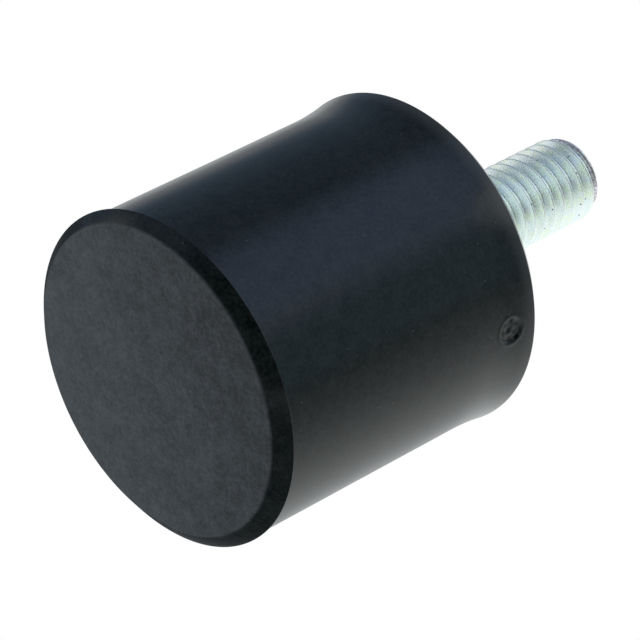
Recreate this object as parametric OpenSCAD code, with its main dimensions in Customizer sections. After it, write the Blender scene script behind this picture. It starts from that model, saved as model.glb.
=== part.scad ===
// Round rubber foot with a threaded stud: a rubber block with a steel disc bonded into one end
// and a stud standing out of that disc. It stands on its free rubber face, stud upward.
// Origin: centre of the free face. +Z: along the axis, towards the stud. Millimetres.

/* [Rubber body] */
// Diameter over the lip round the free end
body_d = 30; // [20:0.5:60]
// Height from the free face to the stud end
body_h = 30; // [20:0.5:60]
// Radial width of the chamfer round the free face
face_chamfer_w = 1.3; // [0.6:0.05:3]
// Height of the chamfer round the free face
face_chamfer_h = 1.2; // [0.6:0.05:3]
// Height of the lip's straight land
lip_land = 0.2; // [0.2:0.05:2]
// How far the side lies inside the lip, on the radius
lip_step = 0.34; // [0.1:0.02:0.4]
// Height over which the lip curves in to the side
lip_blend_h = 0.4; // [0.4:0.1:3]
// Draft of the side: growth of its radius from the lip to the flare
side_draft = 0.1; // [0.02:0.02:0.5]
// Height of the flare at the stud end
flare_h = 5; // [3:0.5:8]
// Growth of the radius over that flare
flare_w = 0.42; // [0.1:0.02:1]
// Radial width of the chamfer at the stud end
rim_chamfer_w = 0.85; // [0.6:0.05:1.5]
// Height of the chamfer at the stud end
rim_chamfer_h = 0.85; // [0.6:0.05:1.5]
// Radius that softens the moulded edges
edge_r = 0.3; // [0.1:0.05:0.4]

/* [Steel plate] */
// Rubber between the plate's edge and the chamfer at the stud end
plate_skin = 0.8; // [0.4:0.1:3]
// Thickness of the plate
plate_t = 2; // [1:0.25:4]
// Radius on the edge of the plate's outer face
plate_edge_r = 0.3; // [0.1:0.05:0.4]
// Radial clearance of the stud's shoulder in the plate's hole
hole_gap = 0.05; // [0:0.01:0.2]

/* [Stud] */
// Major diameter of the rolled thread
stud_d = 7.9; // [5.9:0.1:11.9]
// Distance from crest to crest of the thread
thread_pitch = 1.25; // [0.75:0.25:1.5]
// Length that stands out of the plate
stud_l = 20; // [10:1:40]
// Radial width of the chamfer at the tip
tip_chamfer_w = 0.45; // [0.2:0.05:1]
// Height of the chamfer at the tip
tip_chamfer_h = 0.8; // [0.3:0.1:2]
// How far the shoulder in the plate's hole reaches past the thread, on the radius
shoulder_rim = 0.3; // [0.2:0.05:0.8]
// Height of the plain neck where the thread runs out above the shoulder
relief_h = 1; // [0.5:0.1:3]
// Depth of that neck under the thread's major radius
relief_depth = 0.4; // [0.2:0.05:0.5]
// How far the head reaches past the thread, on the radius
head_rim = 2.3; // [1:0.1:4]
// Thickness of the head under the plate
head_t = 2; // [1:0.25:4]
// Radial width and height of the chamfer under the head
head_chamfer = 0.5; // [0.2:0.1:0.9]

/* [Mould mark] */
// Diameter of the round sunk mark on the side
mark_d = 2.8; // [1:0.1:5]
// Depth of the mark's floor under the side
mark_depth = 0.3; // [0.1:0.05:0.8]
// Distance of the mark's centre below the stud end
mark_drop = 3.5; // [2.5:0.1:10]
// Direction of the mark round the axis
mark_angle = -52; // [-180:1:180]

/* [Hidden] */
$fn = 160;
// Straight pieces in each softened edge
CORNER_STEPS = 4;
// Overshoot of a cutting shape past the surface that it cuts
OVER = 1;

RUBBER = [0.13, 0.14, 0.15];
ZINC = [0.74, 0.77, 0.78];

lip_r = body_d / 2;
lip_top = face_chamfer_h + lip_land;
side_r = lip_r - lip_step;
neck_r = side_r + side_draft;
rim_r = neck_r + flare_w;
rim_z = body_h - rim_chamfer_h;
flare_z = rim_z - flare_h;
end_r = rim_r - rim_chamfer_w;

// Radius of a curve that rises by rise over the length run and starts parallel to the axis
function curve_r(run, rise) = (run * run + rise * rise) / (2 * rise);

flare_r = curve_r(flare_h, flare_w);
blend_r = curve_r(lip_blend_h, lip_step);

plate_r = end_r - plate_skin;
plate_z = body_h - plate_t;
stud_r = stud_d / 2;
stud_top = body_h + stud_l;
shoulder_r = stud_r + shoulder_rim;
relief_r = stud_r - relief_depth;
relief_z = body_h + relief_h;
thread_z = relief_z + relief_depth;
thread_end = stud_top - tip_chamfer_h;
head_r = stud_r + head_rim;
head_z = plate_z - head_t;

mark_z = body_h - mark_drop;
// Radius of the side at the mark's height
mark_side_r = neck_r + (mark_z > flare_z ? flare_r - sqrt(flare_r * flare_r - pow(mark_z - flare_z, 2)) : 0);

function unit(v) = v / norm(v);

// Points of an arc of radius r that softens the corner at b between the edges to a and c
function corner(a, b, c, r) =
    let (
        to_a = unit(a - b),
        to_c = unit(c - b),
        half = acos(to_a * to_c) / 2,
        middle = b + unit(to_a + to_c) * r / sin(half),
        first = b + to_a * r / tan(half) - middle,
        turn = (to_a[0] * to_c[1] - to_a[1] * to_c[0] > 0 ? -1 : 1) * (180 - 2 * half)
    )
    [for (i = [0 : CORNER_STEPS])
        let (w = turn * i / CORNER_STEPS)
        middle + [first[0] * cos(w) - first[1] * sin(w), first[0] * sin(w) + first[1] * cos(w)]];

// Half section of the rubber's outside, radius against height
module body_section() {
    face_edge = [lip_r - face_chamfer_w, 0];
    lip_edge = [lip_r, face_chamfer_h];
    lip_back = [lip_r, lip_top];
    rim_edge = [rim_r, rim_z];
    end_edge = [end_r, body_h];
    difference() {
        polygon(concat(
            [[0, 0]],
            corner([0, 0], face_edge, lip_edge, edge_r),
            corner(face_edge, lip_edge, lip_back, edge_r),
            [lip_back, [side_r, lip_top], [neck_r, flare_z], [rim_r, flare_z]],
            corner([rim_r, flare_z], rim_edge, end_edge, edge_r),
            [end_edge, [0, body_h]]
        ));
        translate([neck_r + flare_r, flare_z])
            circle(r = flare_r);
    }
    lip_blend();
}

// Hollow curve from the lip's upper edge in to the side
module lip_blend() {
    difference() {
        translate([side_r - OVER, lip_top])
            square([lip_step + OVER, lip_blend_h]);
        translate([side_r + blend_r, lip_top + lip_blend_h])
            circle(r = blend_r);
    }
}

// Round sunk mark, cut square into the side
module mould_mark() {
    rotate([0, 0, mark_angle])
        translate([mark_side_r - mark_depth, 0, mark_z])
            rotate([0, 90, 0])
                cylinder(d = mark_d, h = mark_depth + OVER);
}

module plate_blank() {
    rotate_extrude()
        polygon(concat(
            [[0, plate_z], [plate_r, plate_z]],
            corner([plate_r, plate_z], [plate_r, body_h], [0, body_h], plate_edge_r),
            [[0, body_h]]
        ));
}

// Half section of the stud's head, from the axis out to its seat against the plate
head_section = [
    [0, head_z],
    [head_r - head_chamfer, head_z],
    [head_r, head_z + head_chamfer],
    [head_r, plate_z]
];

// The space that the stud's head takes up in the rubber
module head_pocket() {
    rotate_extrude()
        polygon(concat(head_section, [[0, plate_z]]));
}

module rubber_body() {
    color(RUBBER)
        difference() {
            rotate_extrude()
                body_section();
            plate_blank();
            head_pocket();
            mould_mark();
        }
}

module mounting_plate() {
    color(ZINC)
        difference() {
            plate_blank();
            translate([0, 0, plate_z - OVER])
                cylinder(r = shoulder_r + hole_gap, h = plate_t + 2 * OVER);
        }
}

// Half section of the thread as a row of ring grooves. Each has the 60 degree metric profile: a crest
// an eighth of the pitch wide, a root a quarter of it wide, and two flanks that share the rest.
function thread_section() =
    let (
        crest = thread_pitch / 8,
        root = thread_pitch / 4,
        flank = (thread_pitch - crest - root) / 2,
        root_r = stud_r - flank / tan(30),
        grooves = floor((thread_end - thread_z - crest) / thread_pitch)
    )
    [
        [stud_r, thread_z],
        for (i = [0 : grooves - 1])
            let (z = thread_z + crest + i * thread_pitch)
            each [[stud_r, z], [root_r, z + flank], [root_r, z + flank + root], [stud_r, z + 2 * flank + root]],
        [stud_r, thread_end]
    ];

module threaded_stud() {
    shoulder = [[shoulder_r, plate_z], [shoulder_r, body_h]];
    neck = [[relief_r, body_h], [relief_r, relief_z]];
    tip = [[stud_r - tip_chamfer_w, stud_top], [0, stud_top]];
    color(ZINC)
        rotate_extrude()
            polygon(concat(head_section, shoulder, neck, thread_section(), tip));
}

rubber_body();
mounting_plate();
threaded_stud();
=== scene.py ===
# %% [markdown]
# A round rubber foot with a threaded stud.
# The real thing is a block of black rubber moulded onto a steel plate, with a zinc-plated stud standing
# out of the plate. It screws under a machine and keeps its shaking off the bench.
# The solid frame already holds the pieces at their true size. This lesson dresses them: it lathes the
# rubber with its soft edges, winds the stud's thread as real geometry, and gives each finish its nodes.

import math

import bmesh
import bpy
from mathutils import Matrix, Vector, noise


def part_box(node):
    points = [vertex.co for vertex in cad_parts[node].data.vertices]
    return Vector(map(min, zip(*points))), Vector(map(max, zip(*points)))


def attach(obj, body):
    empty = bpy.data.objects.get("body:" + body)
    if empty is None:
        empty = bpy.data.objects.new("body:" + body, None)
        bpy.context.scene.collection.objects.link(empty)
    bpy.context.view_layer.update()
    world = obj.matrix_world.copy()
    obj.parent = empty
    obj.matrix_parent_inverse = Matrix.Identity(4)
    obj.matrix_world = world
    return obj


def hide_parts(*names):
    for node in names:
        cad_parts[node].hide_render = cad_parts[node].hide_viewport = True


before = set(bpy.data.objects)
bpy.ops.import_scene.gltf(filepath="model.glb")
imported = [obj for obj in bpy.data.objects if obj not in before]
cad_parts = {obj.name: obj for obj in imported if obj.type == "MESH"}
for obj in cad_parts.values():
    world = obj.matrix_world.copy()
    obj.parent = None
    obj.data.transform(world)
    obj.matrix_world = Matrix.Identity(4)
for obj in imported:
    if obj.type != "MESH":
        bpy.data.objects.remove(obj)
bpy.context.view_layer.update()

# %% [markdown]
# Blender works in metres, while a part this small is easier to think of in millimetres. One factor at
# the top keeps every later size in millimetres. The sizes that the frame can tell are read from it, so
# the looks follow the solids: heights and radii come from the boxes of the three pieces.

# %% Read the main sizes from the frame
MM = 0.001


def extent(node):
    """Outer radius, lowest and highest point of a round piece, in millimetres."""
    low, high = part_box(node)
    return high.x / MM, low.z / MM, high.z / MM


rim_r, foot_z, body_top = extent("rubber_body")
plate_r, plate_z, plate_top = extent("mounting_plate")
head_r, head_z, stud_top = extent("threaded_stud")
print(f"Body: radius {rim_r:.2f}, height {body_top:.2f}")
print(f"Plate: radius {plate_r:.2f}, from {plate_z:.2f} to {plate_top:.2f}")
print(f"Stud: head radius {head_r:.2f}, from {head_z:.2f} to {stud_top:.2f}")

# %% [markdown]
# The camera comes before the looks, because every surface is judged through it. The foot stands on its
# free face in this frame, but it was photographed lying on its side with that face towards the lens.
# Tilting the foot would break the shared frame, so the camera goes under the foot instead and is rolled
# about its line of sight. A long lens from 0.3 metres gives the small change of size with distance.

# %% Place the camera
CAMERA_PLACE = Vector((0.0, -243.26, -162.05)) * MM
CAMERA_AIM = Vector((1.35, -2.10, 16.39)) * MM
CAMERA_ROLL = math.radians(62.96)
CAMERA_LENS = 201.17
SENSOR = 36.0


def camera_turn(place, aim, roll):
    """Rotation of a camera that looks from place to aim, rolled from level by an angle."""
    forward = (aim - place).normalized()
    level = forward.cross(Vector((0, 0, 1))).normalized()
    upright = level.cross(forward)
    right = level * math.cos(roll) + upright * math.sin(roll)
    return Matrix((right, right.cross(forward), -forward)).transposed()


lens = bpy.data.cameras.new("camera")
lens.lens = CAMERA_LENS
lens.sensor_width = SENSOR
camera = bpy.data.objects.new("camera", lens)
turn = camera_turn(CAMERA_PLACE, CAMERA_AIM, CAMERA_ROLL)
camera.matrix_world = Matrix.Translation(CAMERA_PLACE) @ turn.to_4x4()
lens.clip_start = 0.01
bpy.context.scene.collection.objects.link(camera)
bpy.context.scene.camera = camera
print("Camera looks along", [round(x, 3) for x in -turn.col[2]])

# %% [markdown]
# The rubber block is round about its axis, so half a section, turned once round, makes it. A section
# could be drawn as a curve and spun by a Screw modifier, but building the rings of points in code lets
# single points move afterwards, which the round mould mark on the side will need. The section is a list
# of corners, and each corner has the radius that softens it, as the mould's own corners do.

# %% Helper: soften the corners of a section
def soften(corners):
    """Points of a section. Each corner is (radius, height, softening, points on the soft corner)."""
    points = []
    for i, (r, z, soft, count) in enumerate(corners):
        here = Vector((r, z))
        if not soft:
            points.append(here)
            continue
        before = (Vector(corners[i - 1][:2]) - here).normalized()
        after = (Vector(corners[i + 1][:2]) - here).normalized()
        half = before.angle(after) / 2
        reach = soft / math.tan(half)
        middle = here + (before + after).normalized() * soft / math.sin(half)
        start = here + before * reach - middle
        sweep = start.angle_signed(here + after * reach - middle)
        for k in range(count):
            points.append(middle + Matrix.Rotation(-sweep * k / (count - 1), 2) @ start)
    return points


# %% [markdown]
# These are the body's own sizes. The free face ends in a chamfer; behind its sharp outer edge the lip
# steps in to the side, which widens a hair towards the stud and then flares out to a chamfered rim.
# Moulded rubber shrinks round the steel, and that is what gives the real foot its faint waist. The rim's
# radius is given at the sharp corner, before softening rounds it off.

# %% Sizes of the rubber body
LIP_R = 14.97
FACE_R = 13.68
LIP_EDGE_H = 1.22
LIP_TOP = 1.30
SIDE_R = 14.64
NECK_R = 14.76
STEP_R = 0.06
FLARE_H = 5.0
RIM_CHAMFER = 0.85
end_r = 14.33
rim_z = body_top - RIM_CHAMFER
flare_z = rim_z - FLARE_H
RIM_CORNER_R = 15.18


def arc_rise(run, rise, x):
    """Height at x of an arc that starts flat and rises by rise over the length run."""
    radius = (run * run + rise * rise) / (2 * rise)
    return radius - math.sqrt(max(radius * radius - x * x, 0))


def side_radius(z):
    """Radius of the body's side at a height, from the lip's back edge to the rim."""
    share = (z - LIP_TOP) / (flare_z - LIP_TOP)
    r = SIDE_R + (NECK_R - SIDE_R) * min(share, 1)
    if z < LIP_TOP + STEP_R:
        r = SIDE_R + arc_rise(STEP_R, STEP_R, LIP_TOP + STEP_R - z)
    if z > flare_z:
        r = NECK_R + arc_rise(FLARE_H, RIM_CORNER_R - NECK_R, z - flare_z)
    return r


for z in (LIP_TOP, LIP_TOP + STEP_R, flare_z, rim_z):
    print(f"Side radius at {z:.2f} mm: {side_radius(z):.2f} mm")

# %% [markdown]
# The mould left one small round recess near the stud end. A Boolean modifier could cut it, but a cut
# leaves long thin faces that shade badly on a curved side. Here the points themselves are pushed in, so
# the recess gets soft edges for nothing more than a formula. It only needs closely spaced points there.

# %% Shape of the mould mark
MARK_Z = body_top - 3.42
MARK_ANGLE = math.radians(-51.1)
MARK_R = 1.25
MARK_DEPTH = 0.19
MARK_EDGE = 0.3
MARK_LIP = 0.03
MARK_ROUGH = 0.10
ROUGH_SIZE = 0.5


def ease(low, high, x):
    """0 below low, 1 above high and a smooth curve between them."""
    t = min(max((x - low) / (high - low), 0), 1)
    return t * t * (3 - 2 * t)


def mark_sink(angle, z):
    """How far the side is pushed in by the mark at a place, in millimetres."""
    across = math.remainder(angle - MARK_ANGLE, 2 * math.pi) * NECK_R
    away = math.hypot(across, z - MARK_Z)
    if away > 2 * MARK_R:
        return 0.0
    inside = 1 - ease(MARK_R - MARK_EDGE, MARK_R, away)
    rough = MARK_ROUGH * noise.noise(Vector((across, z, 0)) / ROUGH_SIZE)
    lip = MARK_LIP * math.exp(-((away - MARK_R - 0.12) / 0.16) ** 2)
    return (MARK_DEPTH + rough) * inside - lip


print(f"Mark: floor {mark_sink(MARK_ANGLE, MARK_Z + 0.9):.2f} mm deep, {2 * MARK_R:.1f} mm across")

# %% [markdown]
# Rows of points run round the body at chosen heights, and columns run along it at chosen angles. Both
# are spaced widely where the side is plain and closely round the mark. That keeps the whole piece near
# a hundred thousand triangles, while the mark alone gets points every few hundredths of a millimetre.

# %% Choose the rows and columns
FINE_REACH = 2.0
FINE_ROW = 0.08
FINE_COLUMN = math.radians(0.32)
WIDE_COLUMN = math.radians(1.25)
TILT_REACH = 2.0


def spread(low, high, step):
    """Evenly spaced values from low to high, no further apart than step."""
    count = max(1, math.ceil((high - low) / step - 1e-6))
    return [low + (high - low) * i / count for i in range(count + 1)]


def side_rows():
    """Heights of the rows on the side, from the lip's back edge up to the rim."""
    rows = spread(LIP_TOP + 0.005, LIP_TOP + STEP_R, 0.014)
    rows += spread(LIP_TOP + STEP_R + 0.03, LIP_TOP + TILT_REACH, 0.4)
    rows += spread(LIP_TOP + TILT_REACH, MARK_Z - FINE_REACH, 0.9)[1:]
    rows += spread(MARK_Z - FINE_REACH, MARK_Z + FINE_REACH, FINE_ROW)[1:]
    rows += spread(MARK_Z + FINE_REACH, rim_z - 0.2, 0.25)[1:]
    return rows


def column_angles():
    """Angles of the columns, closer together round the mark."""
    reach = (FINE_REACH + 0.2) / NECK_R
    fine = spread(MARK_ANGLE - reach, MARK_ANGLE + reach, FINE_COLUMN)
    wide = spread(MARK_ANGLE + reach, MARK_ANGLE - reach + 2 * math.pi, WIDE_COLUMN)
    return fine[:-1] + wide[:-1]


columns = column_angles()
print(f"{len(columns)} columns and {len(side_rows())} rows on the side")

# %% [markdown]
# The whole section runs from the middle of the free face out, up the side, over the rim and down into
# the seat that holds the plate and the stud's head. The seat is never seen, but it makes the rubber a
# closed solid. Where the rubber meets the plate, a thin skin of flash creeps over the steel's edge, as
# it does on every bonded part, and its width wanders.

# %% Draw the section of the rubber
FACE_EDGE_SOFT = 0.5
LIP_EDGE_SOFT = 0.04
FLASH_H = 0.05
FLASH_W = 0.45


def rubber_section():
    """Points of the half section, from the middle of the free face round to the head's seat."""
    face = [Vector((r, 0)) for r in (0.02, 3, 6, 9, 11, 12.4, 13.0)]
    lip = [
        (11, 0, 0, 0),
        (FACE_R, 0, FACE_EDGE_SOFT, 7),
        (LIP_R, LIP_EDGE_H, LIP_EDGE_SOFT, 6),
        (LIP_R, LIP_TOP - 0.02, 0, 0),
        (LIP_R, LIP_TOP, 0, 0),
        (side_radius(LIP_TOP + 0.03), LIP_TOP + 0.03, 0, 0),
    ]
    side = [Vector((side_radius(z), z)) for z in side_rows()]
    rim = [
        (side_radius(rim_z - 0.2), rim_z - 0.2, 0, 0),
        (RIM_CORNER_R, rim_z, 0.12, 5),
        (end_r, body_top, 0.25, 5),
        (plate_r, body_top, 0, 0),
    ]
    flash = [
        Vector((plate_r + 0.25, body_top)),
        Vector((plate_r + 0.1, body_top + FLASH_H)),
        Vector((plate_r - FLASH_W, body_top + FLASH_H)),
        Vector((plate_r - FLASH_W - 0.05, body_top + 0.01)),
    ]
    seat = [
        Vector((plate_r, body_top + 0.005)),
        Vector((plate_r, plate_z)),
        Vector((head_r, plate_z)),
        Vector((head_r, head_z)),
        Vector((0.02, head_z)),
    ]
    outside = face + soften(lip)[1:-1] + side + soften(rim)[1:-1]
    return outside + flash + seat


section = rubber_section()
print(f"The section has {len(section)} points")

# %% [markdown]
# A lathe in mesh code places one ring of points for each point of the section, joins the rings with
# four-sided faces, and closes each end with a fan about a point on the axis. Moulded rubber is never
# quite true: the two halves of this mould didn't meet square, so the free face sits a quarter of a
# millimetre off the axis and the lip's edge runs a little askew. A slow noise also moves the side by
# about a hundredth of a millimetre. It can't be measured, but reflections bend over it.

# %% Helper: lathe a section
def lathe(name, points, angles, shift):
    """A closed mesh object made by turning a section. shift(i, r, z, angle) returns the moved (r, z)."""
    verts = [Vector((0, 0, points[0].y)) * MM]
    for i, point in enumerate(points):
        for angle in angles:
            r, z = shift(i, point.x, point.y, angle)
            verts.append(Vector((r * math.cos(angle), r * math.sin(angle), z)) * MM)
    verts.append(Vector((0, 0, points[-1].y)) * MM)
    count = len(angles)
    last = len(verts) - 1
    top = last - count
    faces = []
    for j in range(count):
        k = (j + 1) % count
        faces.append((0, 1 + k, 1 + j))
        for i in range(len(points) - 1):
            low = 1 + i * count
            high = low + count
            faces.append((low + j, low + k, high + k, high + j))
        faces.append((top + j, top + k, last))
    mesh = bpy.data.meshes.new(name)
    mesh.from_pydata(verts, [], faces)
    mesh.shade_smooth()
    piece = bpy.data.objects.new(name, mesh)
    bpy.context.scene.collection.objects.link(piece)
    return piece


# %% Turn the rubber body
WAVE_SIZE = 9.0
WAVE_DEPTH = 0.012
FLASH_WANDER = 0.28
FACE_DRIFT = Vector((-0.27, 0.05))
LIP_DRIFT = Vector((-0.03, 0.18))
SIDE_DRIFT = Vector((0.07, 0.0))
LIP_TILT = Vector((0.16, -0.15))
flash_start = len(section) - 9


def front_shift(r, z, out):
    """Moves a point of the free end: its face and its lip drift apart, and the lip tilts. out: direction."""
    reach = ease(12.0, FACE_R, r)
    share = min(max((r - FACE_R) / (LIP_R - FACE_R), 0), 1)
    drift = FACE_DRIFT * reach * (1 - share) + LIP_DRIFT * share
    return r + drift.dot(out), z + share * LIP_TILT.dot(out)


def rubber_shift(i, r, z, angle):
    """Moves one point of the rubber: the free end, mould mark and waves on the side, a ragged flash."""
    out = Vector((math.cos(angle), math.sin(angle)))
    spot = Vector((out.x * r, out.y * r, z)) / WAVE_SIZE
    if z <= LIP_TOP:
        return front_shift(r, z, out)
    if z < rim_z and r > end_r:
        tilt = LIP_TILT.dot(out) * (1 - min((z - LIP_TOP) / TILT_REACH, 1))
        drift = SIDE_DRIFT.dot(out) * (1 - 0.5 * ease(flare_z, rim_z, z))
        return r + drift - mark_sink(angle, z) + WAVE_DEPTH * noise.noise(spot), z + tilt
    if i > flash_start and r < plate_r - 0.2 and z > body_top:
        wander = noise.noise(spot * 3) + 0.5 * noise.noise(spot * 9)
        return r + FLASH_WANDER * wander, z
    return r, z


rubber = lathe("rubber_block", section, columns, rubber_shift)
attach(rubber, "root")
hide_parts("rubber_body")
print(f"Rubber: {len(rubber.data.vertices)} points, {len(rubber.data.polygons)} faces")

# %% [markdown]
# Every finish below is a small tree of nodes. A few helpers keep the trees short: one starts a material,
# one adds a node and sets its values, and the others turn values into soft masks, blends, curves and
# noises. Places are read in the piece's own coordinates, which are metres in the frame, so a pattern
# stays on the rubber whichever way the camera looks.

# %% Helpers: node trees
def new_finish(name):
    """A new material with its Principled shader: (material, tree, shader)."""
    material = bpy.data.materials.new(name)
    material.use_nodes = True
    tree = material.node_tree
    return material, tree, tree.nodes["Principled BSDF"]


def put(tree, kind, inputs, **settings):
    """Adds a node. inputs maps a socket's name or number to a value or to another node's output."""
    node = tree.nodes.new(kind)
    for key, value in settings.items():
        setattr(node, key, value)
    for key, value in inputs.items():
        if isinstance(value, bpy.types.NodeSocket):
            tree.links.new(value, node.inputs[key])
        else:
            node.inputs[key].default_value = value
    return node


def soft_mask(tree, value, low, high):
    """A smooth step: 0 where value is at low, 1 where it is at high."""
    inputs = {0: value, 1: low, 2: high}
    return put(tree, "ShaderNodeMapRange", inputs, interpolation_type="SMOOTHSTEP").outputs[0]


def blend_values(tree, factor, a, b):
    """a where factor is 0 and b where it is 1."""
    return put(tree, "ShaderNodeMix", {0: factor, 2: a, 3: b}, data_type="FLOAT").outputs[0]


def blend_colours(tree, factor, a, b):
    """Colour a where factor is 0 and colour b where it is 1."""
    return put(tree, "ShaderNodeMix", {0: factor, 6: a, 7: b}, data_type="RGBA").outputs[2]


def work_out(tree, operation, a, b):
    """One sum on two values, such as ADD or MULTIPLY."""
    return put(tree, "ShaderNodeMath", {0: a, 1: b}, operation=operation).outputs[0]


def graph(tree, value, points):
    """A smooth curve guided by points of (value, result), level beyond its ends. Results are 0 to 1."""
    low, high = points[0][0], points[-1][0]
    share = put(tree, "ShaderNodeMapRange", {0: value, 1: low, 2: high}).outputs[0]
    ramp = put(tree, "ShaderNodeValToRGB", {0: share})
    ramp.color_ramp.interpolation = "B_SPLINE"
    for at, result in points[1:-1]:
        ramp.color_ramp.elements.new((at - low) / (high - low))
    for element, (at, result) in zip(ramp.color_ramp.elements, points):
        element.color = (result, result, result, 1)
    return ramp.outputs[0]


def grain(tree, place, size, detail=2.0, rough=0.5):
    """Noise whose blotches are about size millimetres across."""
    inputs = {"Vector": place, "Scale": 1 / (size * MM), "Detail": detail, "Roughness": rough}
    return put(tree, "ShaderNodeTexNoise", inputs).outputs[0]


def sway(tree, value, amount):
    """A noise value, which lies about 0.5, turned into a sway about 0 and scaled."""
    return work_out(tree, "MULTIPLY", work_out(tree, "SUBTRACT", value, 0.5), amount)


print("Node helpers ready")

# %% [markdown]
# Black rubber is one of the darkest things on a bench, and yet it never looks like a hole: what shows is
# the sheen. The free face was pressed against a blasted mould and is matt and mottled, and painted light
# makes its colour paler towards one edge. The side came off a polished mould and has a soft satin, a
# little paler at the rim, and the chamfer between them is as smooth as the side. So one material holds
# both: a mask made from the height tells the flat face from the rest. Noises of five sizes make the
# mottling, because real rubber shows some at every scale, and dust specks keep the dark side from looking
# drawn.

# %% Rubber finish
SIDE_BLACK = (0.0005, 0.0028, 0.0028, 1)
SIDE_WORN = (0.0075, 0.0105, 0.0100, 1)
FACE_BLACK = (0.0244, 0.0304, 0.0344, 1)
# The face's paler colour is reached both through real mottling and through painted light towards one side.
FACE_PALE_MOTTLE_AND_PAINTED_LIGHT = (0.0700, 0.0815, 0.0920, 1)
RIM_PALER = (0.0300, 0.0330, 0.0340, 1)
# Direction across the free face towards which painted light makes its colour paler.
PAINTED_LIGHT_SIDE = Vector((-0.25, 0.97, 0.0))
DUST = (0.055, 0.06, 0.06, 1)


def dust_mask(tree, place, cell, size, share):
    """Small round specks: one in each cell of cell millimetres, kept in that share of the cells."""
    inputs = {"Vector": place, "Scale": 1 / (cell * MM)}
    cells = put(tree, "ShaderNodeTexVoronoi", inputs)
    near = soft_mask(tree, cells.outputs["Distance"], size / cell, 0.5 * size / cell)
    chosen = soft_mask(tree, cells.outputs["Color"], 1 - share, 1 - share + 0.01)
    return work_out(tree, "MULTIPLY", near, chosen)


def rubber_finish():
    """Satin black on the side, mottled matt black on the free face."""
    material, tree, shader = new_finish("black_rubber")
    place = put(tree, "ShaderNodeTexCoord", {}).outputs["Object"]
    height = put(tree, "ShaderNodeSeparateXYZ", {0: place}).outputs["Z"]
    side = soft_mask(tree, height, 0.01 * MM, 0.3 * MM)

    fine = grain(tree, place, 0.13, 3.0, 0.6)
    mottle = grain(tree, place, 0.4, 3.0, 0.6)
    smoke = grain(tree, place, 1.3, 3.0, 0.6)
    cloud = grain(tree, place, 5.0, 2.0)
    stretched = put(tree, "ShaderNodeVectorMath", {0: place, 1: (0.12, 1, 1)}, operation="MULTIPLY")
    streaks = grain(tree, stretched.outputs[0], 0.9, 3.0)
    # Painted light: the face's colour grows paler towards one side, as if more light fell there, and the
    # noises add real mottling on top.
    inputs = {0: place, 1: tuple(PAINTED_LIGHT_SIDE)}
    across = put(tree, "ShaderNodeVectorMath", inputs, operation="DOT_PRODUCT").outputs["Value"]
    pale = soft_mask(tree, across, -30 * MM, 30 * MM)
    for noise_value, amount in ((cloud, 0.6), (smoke, 0.8), (mottle, 1.1), (fine, 0.7), (streaks, 0.06)):
        pale = work_out(tree, "ADD", pale, sway(tree, noise_value, amount))
    scuffs = work_out(tree, "MULTIPLY", soft_mask(tree, streaks, 0.36, 0.28), 0.12)
    face_colour = blend_colours(tree, work_out(tree, "SUBTRACT", pale, scuffs), FACE_BLACK, FACE_PALE_MOTTLE_AND_PAINTED_LIGHT)
    bloomy = grain(tree, place, 0.3, 3.0, 0.6)
    worn = work_out(tree, "ADD", 0.5, sway(tree, bloomy, 2.2))
    worn = work_out(tree, "ADD", worn, sway(tree, smoke, 2.0))
    side_colour = blend_colours(tree, worn, SIDE_BLACK, SIDE_WORN)
    # The side's colour turns paler over the last millimetre and a half below the rim's corner, and stays so
    # over the rim.
    rim = soft_mask(tree, height, (rim_z - 1.5) * MM, (rim_z + 0.2) * MM)
    side_colour = blend_colours(tree, rim, side_colour, RIM_PALER)
    colour = blend_colours(tree, side, face_colour, side_colour)
    dust = dust_mask(tree, place, 1.3, 0.075, 0.9)
    colour = blend_colours(tree, dust, colour, DUST)
    tree.links.new(colour, shader.inputs["Base Color"])

    side_rough = blend_values(tree, cloud, 0.18, 0.26)
    face_rough = blend_values(tree, mottle, 0.5, 0.62)
    roughness = blend_values(tree, side, face_rough, side_rough)
    tree.links.new(roughness, shader.inputs["Roughness"])

    strength = blend_values(tree, side, 0.3, 0.1)
    inputs = {"Strength": strength, "Distance": 0.03 * MM, "Height": fine}
    bump = put(tree, "ShaderNodeBump", inputs)
    tree.links.new(bump.outputs[0], shader.inputs["Normal"])
    sheen = work_out(tree, "ADD", 0.5, sway(tree, bloomy, 0.14))
    tree.links.new(sheen, shader.inputs["Specular IOR Level"])
    shader.inputs["IOR"].default_value = 1.42
    return material


rubber.data.materials.append(rubber_finish())
print("Rubber finish:", len(rubber.data.materials[0].node_tree.nodes), "nodes")

# %% [markdown]
# The stud carries a rolled metric thread: 8 mm across with 1.25 mm from crest to crest, right hand. A
# picture of a thread could be faked with bump, but its outline is seen against a white background, so it
# has to be real. Stacked rings would leave steps where the crests cross them. Here each row of points
# follows the helix instead: one row of points for each place on the thread's profile, climbing one pitch
# with each turn, so every crest is a clean line.

# %% Thread sizes and profile
THREAD_R = 3.95
PITCH = 1.25
CREST_FLAT = 0.08
THREAD_DEPTH = 0.70
FLANK_SLOPE = 1 / math.tan(math.radians(30))
CREST_HEIGHT = 39.156
NECK_TOP = 31.0
RUN_OUT = 1.7
NECK_RADIUS = 3.55
TIP_CHAMFER_H = 0.8
TIP_R = 3.5
EDGE_SOFT = 0.04


def soft_floor(x, softness):
    """x where it is well above 0, 0 where it is well below, and a smooth bend between."""
    return (x + math.sqrt(x * x + softness * softness)) / 2


def thread_drop(share):
    """Depth under the crest, at a share of the pitch away from it (0 to 1)."""
    away = min(share, 1 - share) * PITCH
    drop = soft_floor(FLANK_SLOPE * (away - CREST_FLAT), EDGE_SOFT)
    return THREAD_DEPTH - soft_floor(THREAD_DEPTH - drop, 1.5 * EDGE_SOFT)


crest_drop = thread_drop(0)


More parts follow.
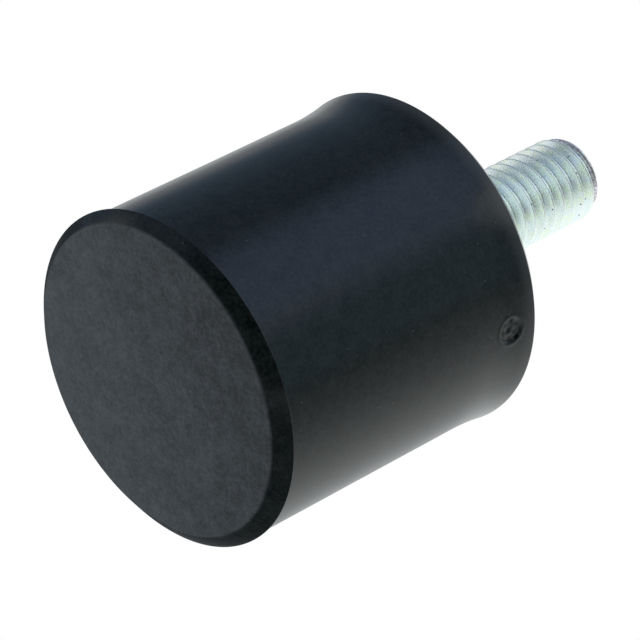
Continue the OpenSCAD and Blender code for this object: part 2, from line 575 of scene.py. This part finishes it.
def thread_radius(share, z):
    """Radius of the stud at a height, with the run-out at the neck and the chamfer at the tip."""
    r = THREAD_R + crest_drop - thread_drop(share)
    r = NECK_RADIUS + (r - NECK_RADIUS) * ease(NECK_TOP, NECK_TOP + RUN_OUT, z)
    cone = TIP_R + (THREAD_R - TIP_R) * (stud_top - z) / TIP_CHAMFER_H
    return cone - soft_floor(cone - r, 0.04)


print(f"Thread: crest radius {thread_radius(0, 40):.2f}, root radius {thread_radius(0.5, 40):.2f}")

# %% Wind the thread
AROUND = 144
HALF_PROFILE = (0.0, 0.04, 0.06, 0.075, 0.095, 0.13, 0.22, 0.32, 0.36, 0.385, 0.41, 0.45, 0.5)
PROFILE = HALF_PROFILE + tuple(1 - share for share in HALF_PROFILE[-2:0:-1])


def wind_thread():
    """An open tube of thread that runs past both ends of the stud."""
    bm = bmesh.new()
    first = math.floor((NECK_TOP - CREST_HEIGHT) / PITCH) - 1
    turns = math.ceil((stud_top - CREST_HEIGHT) / PITCH) - first + 1
    rows = []
    for s in range(turns * AROUND + 1):
        angle = 2 * math.pi * s / AROUND
        start = CREST_HEIGHT + PITCH * (first + s / AROUND)
        row = []
        for share in PROFILE:
            z = start + PITCH * share
            r = thread_radius(share, z)
            row.append(bm.verts.new(Vector((r * math.cos(angle), r * math.sin(angle), z)) * MM))
        rows.append(row)
    for s in range(len(rows) - 1):
        for j in range(len(PROFILE) - 1):
            bm.faces.new((rows[s][j], rows[s + 1][j], rows[s + 1][j + 1], rows[s][j + 1]))
        if s + 1 + AROUND < len(rows):
            above, beyond = rows[s + AROUND][0], rows[s + 1 + AROUND][0]
            bm.faces.new((rows[s][-1], rows[s + 1][-1], beyond, above))
    return bm


thread = wind_thread()
print(f"Thread: {len(thread.faces)} faces before its ends are cut")

# %% [markdown]
# The wound thread is longer than the stud, like a bar before it is cut. Two planes cut it square, and
# each open rim is then drawn on, ring by ring. Below the thread come the plain neck, the shoulder that
# fills the plate's hole, and the flat head under the plate. At the tip come the chamfer's soft edge and
# the shallow dish that thread rolling leaves in the end of a real stud.

# %% Helper: cut and extend the thread
def cut_square(bm, z, keep_below):
    """Cuts the mesh at a height and returns the edges of the new rim."""
    side = 1 if keep_below else -1
    parts = bm.verts[:] + bm.edges[:] + bm.faces[:]
    bmesh.ops.bisect_plane(
        bm, geom=parts, dist=1e-8, plane_co=(0, 0, z * MM), plane_no=(0, 0, side), clear_outer=True
    )
    return [e for e in bm.edges if e.is_boundary and all(abs(v.co.z - z * MM) < 1e-6 for v in e.verts)]


def draw_on(bm, rim, rings):
    """Extends a rim through rings of (radius, height), keeping each point's direction from the axis."""
    for r, z in rings:
        made = bmesh.ops.extrude_edge_only(bm, edges=rim)["geom"]
        new = {part for part in made if isinstance(part, bmesh.types.BMVert)}
        for vert in new:
            flat = Vector((vert.co.x, vert.co.y)).normalized() * r
            vert.co = Vector((flat.x, flat.y, z)) * MM
        rim = [e for e in made if isinstance(e, bmesh.types.BMEdge) and set(e.verts) <= new]
    bmesh.ops.pointmerge(bm, verts=list(new), merge_co=Vector((0, 0, rings[-1][1])) * MM)


# %% Finish the stud's ends
SHOULDER_R = 4.25
HEAD_CHAMFER = 0.5
DISH_DEPTH = 0.22

tip_rim = cut_square(thread, stud_top, True)
neck_rim = cut_square(thread, NECK_TOP, False)
draw_on(thread, tip_rim, [
    (TIP_R - 0.12, stud_top),
    (TIP_R - 0.35, stud_top - 0.03),
    (TIP_R - 1.0, stud_top - 0.6 * DISH_DEPTH),
    (TIP_R - 2.0, stud_top - DISH_DEPTH),
    (0.3, stud_top - DISH_DEPTH),
])
draw_on(thread, neck_rim, [
    (NECK_RADIUS, body_top + 0.12),
    (NECK_RADIUS + 0.04, body_top + 0.04),
    (NECK_RADIUS + 0.12, body_top),
    (SHOULDER_R - 0.08, body_top),
    (SHOULDER_R - 0.02, body_top - 0.02),
    (SHOULDER_R, body_top - 0.08),
    (SHOULDER_R, plate_z),
    (head_r, plate_z),
    (head_r, head_z + HEAD_CHAMFER),
    (head_r - HEAD_CHAMFER, head_z),
    (0.3, head_z),
])
bmesh.ops.recalc_face_normals(thread, faces=thread.faces)
stud_mesh = bpy.data.meshes.new("threaded_stud_wound")
thread.to_mesh(stud_mesh)
open_edges = sum(e.is_boundary for e in thread.edges)
thread.free()
stud_mesh.shade_smooth()
stud = bpy.data.objects.new("wound_stud", stud_mesh)
bpy.context.scene.collection.objects.link(stud)
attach(stud, "root")
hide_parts("threaded_stud")
print(f"Stud: {len(stud_mesh.polygons)} faces, {open_edges} open edges")

# %% [markdown]
# Zinc plating is a thin bright metal skin. It isn't polished: it blurs what it reflects, and its clear
# passivation breaks light into weak patches of blue, green and yellow. A metal's base colour is the
# colour of its reflections, so the patches go there, blended by two slow noises. A fine noise roughens
# it, and together with a second noise it raises small bumps. The cut end of a stud takes the plating
# badly, so a brownish stain lies over its tip, and a few dark specks stand for pores in the plating.

# %% Zinc finishes
ZINC_BLUE = (0.87, 0.98, 1.00, 1)
ZINC_YELLOW = (0.88, 1.00, 0.80, 1)
ZINC_GREY = (0.90, 0.97, 0.96, 1)
ZINC_TIP = (0.62, 0.54, 0.59, 1)
PORE = (0.05, 0.05, 0.05, 1)


def zinc_finish(name, patch_size, low_rough, high_rough, bump_strength):
    """Plated zinc with weak coloured patches and dark pores."""
    material, tree, shader = new_finish(name)
    place = put(tree, "ShaderNodeTexCoord", {}).outputs["Object"]
    patch = soft_mask(tree, grain(tree, place, patch_size, 3.0), 0.38, 0.62)
    tint = blend_colours(tree, patch, ZINC_BLUE, ZINC_YELLOW)
    worn = grain(tree, place, 0.3, 4.0, 0.65)
    wear = soft_mask(tree, worn, 0.4, 0.6)
    tint = blend_colours(tree, wear, tint, ZINC_GREY)
    height = put(tree, "ShaderNodeSeparateXYZ", {0: place}).outputs["Z"]
    tip = soft_mask(tree, height, (stud_top - 1.1) * MM, (stud_top - 0.3) * MM)
    stain = work_out(tree, "MULTIPLY", tip, soft_mask(tree, grain(tree, place, 0.3, 3.0), 0.62, 0.42))
    tint = blend_colours(tree, stain, tint, ZINC_TIP)
    pores = dust_mask(tree, place, 0.75, 0.095, 0.5)
    tint = blend_colours(tree, pores, tint, PORE)
    tree.links.new(tint, shader.inputs["Base Color"])
    fine = grain(tree, place, 0.09, 3.0, 0.6)
    tree.links.new(blend_values(tree, fine, low_rough, high_rough), shader.inputs["Roughness"])
    uneven = blend_values(tree, 0.6, fine, worn)
    inputs = {"Strength": bump_strength, "Distance": 0.05 * MM, "Height": uneven}
    bump = put(tree, "ShaderNodeBump", inputs)
    tree.links.new(bump.outputs[0], shader.inputs["Normal"])
    shader.inputs["Metallic"].default_value = 0.75
    return material


stud_mesh.materials.append(zinc_finish("zinc_thread", 1.1, 0.18, 0.38, 0.7))
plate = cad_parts["mounting_plate"]
plate.data.materials.clear()
plate.data.materials.append(zinc_finish("zinc_disc", 7.0, 0.2, 0.36, 0.3))
print("Zinc finishes on the stud and the plate")

# %% [markdown]
# The floor is a plain pale disc just under the foot. The camera of the main picture looks up from below
# it, so the floor shows only its upper side: the Geometry node's Backfacing output makes it clear from
# underneath. Its own shading keeps the foot's shadow, and far out it fades into the white background, so
# that no horizon line shows.

# %% Pale floor
FLOOR_R = 600.0
FLOOR_Z = -0.05
FLOOR_FADE = (70.0, 260.0)
FLOOR_COLOUR = (0.86, 0.86, 0.85, 1)


def pale_floor():
    """A flat disc of the floor's size, just under the foot. A disc that receives the
    shadow and lets every other ray pass.
    """
    mesh = bpy.data.meshes.new("pale_floor")
    bm = bmesh.new()
    bmesh.ops.create_circle(bm, cap_ends=True, radius=FLOOR_R * MM, segments=96)
    bm.to_mesh(mesh)
    bm.free()
    floor = bpy.data.objects.new("pale_floor", mesh)
    floor.location.z = FLOOR_Z * MM
    bpy.context.scene.collection.objects.link(floor)
    return floor


def floor_finish():
    """Pale and matt near the foot, white further out, and clear from below."""
    material, tree, shader = new_finish("pale_floor")
    place = put(tree, "ShaderNodeTexCoord", {}).outputs["Object"]
    away = put(tree, "ShaderNodeVectorMath", {0: place}, operation="LENGTH").outputs["Value"]
    far = soft_mask(tree, away, FLOOR_FADE[0] * MM, FLOOR_FADE[1] * MM)
    shader.inputs["Base Color"].default_value = FLOOR_COLOUR
    shader.inputs["Roughness"].default_value = 0.9
    shader.inputs["Specular IOR Level"].default_value = 0.0
    white = put(tree, "ShaderNodeEmission", {"Color": (1, 1, 1, 1), "Strength": 1.0})
    inputs = {0: far, 1: shader.outputs[0], 2: white.outputs[0]}
    top = put(tree, "ShaderNodeMixShader", inputs)
    clear = put(tree, "ShaderNodeBsdfTransparent", {})
    below = put(tree, "ShaderNodeNewGeometry", {}).outputs["Backfacing"]
    both = put(tree, "ShaderNodeMixShader", {0: below, 1: top.outputs[0], 2: clear.outputs[0]})
    tree.links.new(both.outputs[0], tree.nodes["Material Output"].inputs["Surface"])
    return material


floor = pale_floor()
floor.data.materials.append(floor_finish())
for ray in ("diffuse", "glossy", "transmission", "volume_scatter", "shadow"):
    setattr(floor, "visible_" + ray, False)
print(f"Floor: {2 * FLOOR_R:.0f} mm across, {-FLOOR_Z:.2f} mm under the foot")

# %% [markdown]
# The foot was photographed on its side on a white table, with a dim room above and behind the lens. Dark
# rubber and bright zinc show that table and that room far more than any lamp, so both are built here,
# turned to suit the foot's own upright frame. The table is a plain sheet beside the foot that only
# reflections see, and it glows instead of being lit. Each strip of it that runs along the foot shows as
# one line along the rubber's side, so a curve across the strips sets how bright the side is from its
# edge to its middle. The sheet is dark in the shade of the free face and brighter under the stud.

# %% White table seen in reflections
ROOM_UP = Vector((-0.763, -0.647, 0.0)).normalized()
view_back = turn.col[2].normalized()
ROOM_FRONT = (view_back - ROOM_UP * view_back.dot(ROOM_UP)).normalized()
room_side = ROOM_UP.cross(ROOM_FRONT)
TABLE_DROP = 15.3
TABLE_SIZE = 700.0
TABLE_WHITE = (0.97, 1.0, 1.0, 1)
TABLE_DARK = (0.07, 0.08, 0.09, 1)
TABLE_GLOW = 1.2
TABLE_ACROSS = [(-20, 0.63), (7, 0.56), (16, 0.84), (24, 0.76), (40, 0.48), (60, 0.34), (100, 0.30)]
SHADE_EDGE = (0.3, 6.6)
SHADE_SLOPE = 0.55
SHADE_END = (-60.0, -90.0)
TABLE_FRONT = 0.42
TABLE_FAR = (90.0, 260.0)
STUD_SIDE = (28.0, 21.0)
STUD_START = (27.0, 34.0)
STUD_GAIN = 0.25


def table_finish():
    """White beside the foot, and dark in the shade before its free face, which widens to the left."""
    material, tree, shader = new_finish("white_table")
    place = put(tree, "ShaderNodeTexCoord", {}).outputs["Object"]
    axes = put(tree, "ShaderNodeSeparateXYZ", {0: place})
    away = put(tree, "ShaderNodeVectorMath", {0: place}, operation="LENGTH").outputs["Value"]
    left = work_out(tree, "MINIMUM", axes.outputs["X"], 0.0)
    along = work_out(tree, "ADD", axes.outputs["Y"], work_out(tree, "MULTIPLY", left, SHADE_SLOPE))
    edge, end, start = [[(z - body_top / 2) * MM for z in zs] for zs in (SHADE_EDGE, SHADE_END, STUD_START)]
    lit = soft_mask(tree, along, *edge)
    far = soft_mask(tree, away, TABLE_FAR[1] * MM, TABLE_FAR[0] * MM)
    level = graph(tree, axes.outputs["X"], [(x * MM, share) for x, share in TABLE_ACROSS])
    level = work_out(tree, "MULTIPLY", level, blend_values(tree, far, 0.4, 1.0))
    beside = work_out(tree, "ABSOLUTE", work_out(tree, "ADD", axes.outputs["X"], 12 * MM), 0.0)
    beside = soft_mask(tree, beside, *[x * MM for x in STUD_SIDE])
    near_stud = work_out(tree, "MULTIPLY", beside, soft_mask(tree, axes.outputs["Y"], *start))
    level = work_out(tree, "ADD", level, work_out(tree, "MULTIPLY", near_stud, STUD_GAIN))
    past = work_out(tree, "ADD", axes.outputs["Y"], work_out(tree, "MULTIPLY", left, -SHADE_SLOPE))
    front = work_out(tree, "MULTIPLY", soft_mask(tree, past, *end), TABLE_FRONT)
    share = work_out(tree, "MAXIMUM", work_out(tree, "MULTIPLY", lit, level), front)
    colour = blend_colours(tree, share, TABLE_DARK, TABLE_WHITE)
    tree.links.new(colour, shader.inputs["Emission Color"])
    shader.inputs["Emission Strength"].default_value = TABLE_GLOW
    shader.inputs["Base Color"].default_value = (0, 0, 0, 1)
    shader.inputs["Roughness"].default_value = 1.0
    shader.inputs["Specular IOR Level"].default_value = 0.0
    return material


table_mesh = bpy.data.meshes.new("white_table")
bm = bmesh.new()
bmesh.ops.create_grid(bm, x_segments=1, y_segments=1, size=TABLE_SIZE * MM / 2)
bm.to_mesh(table_mesh)
bm.free()
table = bpy.data.objects.new("white_table", table_mesh)
middle = (Vector((0, 0, body_top / 2)) - ROOM_UP * TABLE_DROP) * MM
foot_axis = Vector((0, 0, 1))
axes = Matrix((foot_axis.cross(ROOM_UP), foot_axis, ROOM_UP)).transposed()
table.matrix_world = Matrix.Translation(middle) @ axes.to_4x4()
bpy.context.scene.collection.objects.link(table)
table_mesh.materials.append(table_finish())
for ray in ("camera", "diffuse", "transmission", "volume_scatter", "shadow"):
    setattr(table, "visible_" + ray, False)
print("Table faces", [round(x, 2) for x in ROOM_UP])

# %% [markdown]
# The world does three jobs, and the Light Path node tells them apart. Camera rays see plain white at
# strength 1, which is the white background. Glossy rays see the room: a dim bluish ceiling, a few round
# soft lights, and next to nothing behind the lens. A light is a line of numbers: degrees above the
# table, degrees round from the lens, the radii where it starts and stops fading, and its colour. All
# other rays see soft, even light, so that a colour renders about as it is written.

# %% World light
CEILING = (0.15, 0.21, 0.30, 1)
LOW_WALL = (0.62, 0.62, 0.60, 1)
WALL_TOP = 0.0
WALL_FULL = -0.4
DARK_FRONT = (0.01, 0.015, 0.015, 1)
EVEN_HIGH = (0.75, 0.78, 0.82, 1)
EVEN_LOW = (1.10, 1.10, 1.08, 1)
SOFT_LIGHTS = [
    (46, 106, 8, 36, (0.58, 0.76, 1.15, 1)),
    (10, 84, 8, 30, (0.28, 0.42, 0.50, 1)),
    (-14, 180, 6, 21, (0.75, 0.76, 0.78, 1)),
    (5, 125, 16, 34, (0.80, 0.88, 0.90, 1)),
    (42, 68, 8, 17, (1.20, 1.30, 1.32, 1)),
    (11, -44, 9, 22, (0.85, 0.92, 0.92, 1)),
    (8, -103, 12, 26, (1.05, 1.03, 1.02, 1)),
]


def room_direction(up_angle, turn_angle):
    """A direction in the room: degrees above the table, and degrees round from the lens to its right."""
    up, turned = math.radians(up_angle), math.radians(turn_angle)
    level = ROOM_FRONT * math.cos(turned) + room_side * math.sin(turned)
    return ROOM_UP * math.sin(up) + level * math.cos(up)


def facing(tree, direction, towards):
    """How far each direction of the world points towards a given one, from -1 to 1."""
    inputs = {0: direction, 1: tuple(towards)}
    return put(tree, "ShaderNodeVectorMath", inputs, operation="DOT_PRODUCT").outputs["Value"]


def room_colour(tree, direction):
    """What glossy rays see."""
    height = facing(tree, direction, ROOM_UP)
    front = soft_mask(tree, facing(tree, direction, room_direction(8, 0)), 0.1, 0.6)
    colour = blend_colours(tree, front, CEILING, DARK_FRONT)
    colour = blend_colours(tree, soft_mask(tree, height, WALL_TOP, WALL_FULL), colour, LOW_WALL)
    for up_angle, turn_angle, inner, outer, light in SOFT_LIGHTS:
        near = facing(tree, direction, room_direction(up_angle, turn_angle))
        edges = math.cos(math.radians(outer)), math.cos(math.radians(inner))
        colour = blend_colours(tree, soft_mask(tree, near, *edges), colour, light)
    return colour


def light_world():
    """White for the camera, the room for reflections, even light for the rest."""
    world = bpy.data.worlds.new("studio")
    world.use_nodes = True
    tree = world.node_tree
    direction = put(tree, "ShaderNodeTexCoord", {}).outputs["Generated"]
    path = put(tree, "ShaderNodeLightPath", {})
    upward = soft_mask(tree, facing(tree, direction, ROOM_UP), -0.7, 0.7)
    even = blend_colours(tree, upward, EVEN_LOW, EVEN_HIGH)
    shiny = work_out(tree, "MAXIMUM", path.outputs["Is Glossy Ray"], path.outputs["Is Transmission Ray"])
    colour = blend_colours(tree, shiny, even, room_colour(tree, direction))
    colour = blend_colours(tree, path.outputs["Is Camera Ray"], colour, (1, 1, 1, 1))
    tree.links.new(colour, tree.nodes["Background"].inputs["Color"])
    tree.nodes["Background"].inputs["Strength"].default_value = 1.0
    world.cycles.sampling_method = "NONE"
    bpy.context.scene.world = world
    return world


print("World:", len(light_world().node_tree.nodes), "nodes")

# %% [markdown]
# One large soft lamp hangs straight over the standing foot. It brings the floor up to white and lays the
# foot's soft shadow on it, which the other views show. Reflections leave it out: the plate lies square
# under it and would mirror it as a white disc.

# %% Overhead lamp
LAMP_HEIGHT = 400.0
LAMP_SIZE = 300.0
LAMP_POWER = 0.5
lamp = bpy.data.lights.new("overhead", "AREA")
lamp.shape = "DISK"
lamp.size = LAMP_SIZE * MM
lamp.energy = LAMP_POWER
hung = bpy.data.objects.new("overhead", lamp)
hung.location = Vector((0, 0, LAMP_HEIGHT)) * MM
hung.visible_camera = False
hung.visible_glossy = False
bpy.context.scene.collection.objects.link(hung)
bpy.context.scene.view_settings.view_transform = "Standard"
print(f"Lamp: {LAMP_SIZE:.0f} mm across at {LAMP_HEIGHT:.0f} mm")
